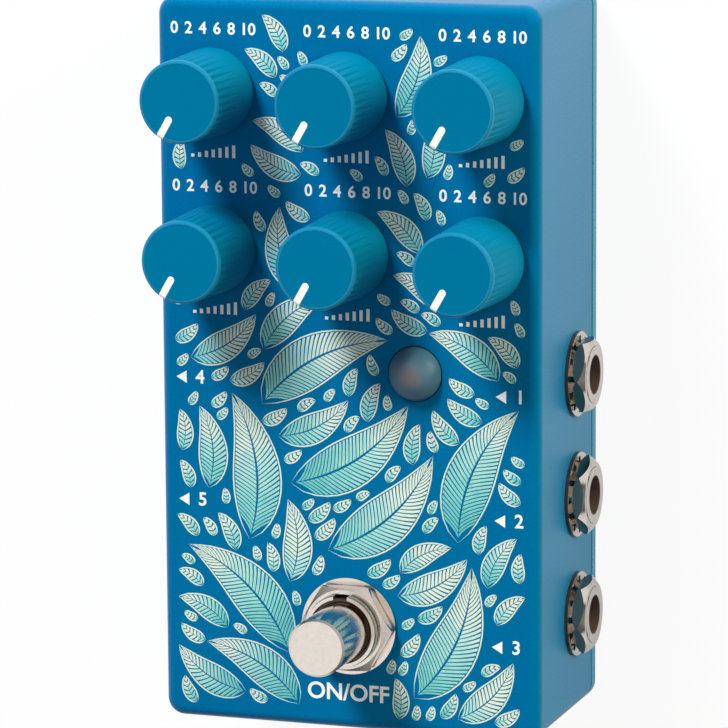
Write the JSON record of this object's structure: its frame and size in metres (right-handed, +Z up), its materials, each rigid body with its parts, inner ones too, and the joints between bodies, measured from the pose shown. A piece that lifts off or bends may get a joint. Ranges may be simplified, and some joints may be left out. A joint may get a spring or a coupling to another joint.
{
  "type": "stereo delay",
  "caption": "Compact floor effects unit: rounded die-cast box with fluted knobs, domed indicator, foot switch, plug sockets on both sides and a power inlet.",
  "frame": {"origin": "on the floor, under the middle of the box", "axes": "+X to the right across the face, +Y to the rear end, +Z up out of the face"},
  "size_m": [0.0724, 0.122, 0.053],
  "materials": {
    "coat": "gloss",
    "knob": "satin",
    "pointer": "satin",
    "nickel": "polished",
    "steel": "satin",
    "shaft": "satin",
    "pot": "satin",
    "lens": "gloss",
    "lamp": "gloss",
    "rubber": "matte",
    "black_plastic": "satin",
    "brass": "satin",
    "board": "satin",
    "can": "satin"
  },
  "bodies": {
    "chassis": {"enclosure": "coat", "base_plate": "coat", "cover_screws": "steel", "rubber_feet": "rubber", "time_pot": "pot", "feedback_pot": "pot", "mix_pot": "pot", "rate_pot": "pot", "volume_pot": "pot", "tone_pot": "pot", "pot_nuts": "steel", "pot_washers": "steel", "indicator_lens": "lens", "indicator_lamp": "lamp", "switch_bushing": "nickel", "switch_nut": "nickel", "switch_washer": "nickel", "switch_lock_washer": "steel", "switch_lower_nut": "steel", "switch_case": "black_plastic", "switch_spring": "steel", "switch_terminals": "brass", "input_left_socket": "black_plastic", "input_right_socket": "black_plastic", "control_socket": "black_plastic", "output_left_socket": "black_plastic", "output_right_socket": "black_plastic", "socket_bushings": "nickel", "socket_nuts": "nickel", "socket_washers": "nickel", "socket_contacts": "brass", "power_inlet": "black_plastic", "power_inlet_pin": "nickel", "control_board": "board", "main_board": "board", "board_spacers": "brass", "board_screws": "steel", "board_header": "black_plastic", "signal_chip": "black_plastic", "capacitors": "can"},
    "time_control": {"time_knob": "knob", "time_pointer": "pointer", "time_shaft": "shaft"},
    "feedback_control": {"feedback_knob": "knob", "feedback_pointer": "pointer", "feedback_shaft": "shaft"},
    "mix_control": {"mix_knob": "knob", "mix_pointer": "pointer", "mix_shaft": "shaft"},
    "rate_control": {"rate_knob": "knob", "rate_pointer": "pointer", "rate_shaft": "shaft"},
    "volume_control": {"volume_knob": "knob", "volume_pointer": "pointer", "volume_shaft": "shaft"},
    "tone_control": {"tone_knob": "knob", "tone_pointer": "pointer", "tone_shaft": "shaft"},
    "foot_switch": {"switch_plunger": "nickel"}
  },
  "joints": [
    {"name": "time_turn", "type": "hinge", "parent": "chassis", "child": "time_control", "pos_m": [-0.0232, 0.0455, 0.036], "axis": [0, 0, -1], "range_deg": [0, 300]},
    {"name": "feedback_turn", "type": "hinge", "parent": "chassis", "child": "feedback_control", "pos_m": [0, 0.0455, 0.036], "axis": [0, 0, -1], "range_deg": [0, 300]},
    {"name": "mix_turn", "type": "hinge", "parent": "chassis", "child": "mix_control", "pos_m": [0.0232, 0.0455, 0.036], "axis": [0, 0, -1], "range_deg": [0, 300]},
    {"name": "rate_turn", "type": "hinge", "parent": "chassis", "child": "rate_control", "pos_m": [-0.0232, 0.0193, 0.036], "axis": [0, 0, -1], "range_deg": [0, 300]},
    {"name": "volume_turn", "type": "hinge", "parent": "chassis", "child": "volume_control", "pos_m": [0, 0.0193, 0.036], "axis": [0, 0, -1], "range_deg": [0, 300]},
    {"name": "tone_turn", "type": "hinge", "parent": "chassis", "child": "tone_control", "pos_m": [0.0232, 0.0193, 0.036], "axis": [0, 0, -1], "range_deg": [0, 300]},
    {"name": "switch_press", "type": "slide", "parent": "chassis", "child": "foot_switch", "axis": [0, 0, -1], "range_m": [0, 0.002], "stiffness_N_per_m": 1500, "springref_m": -0.002, "deforming": ["switch_spring"]}
  ]
}
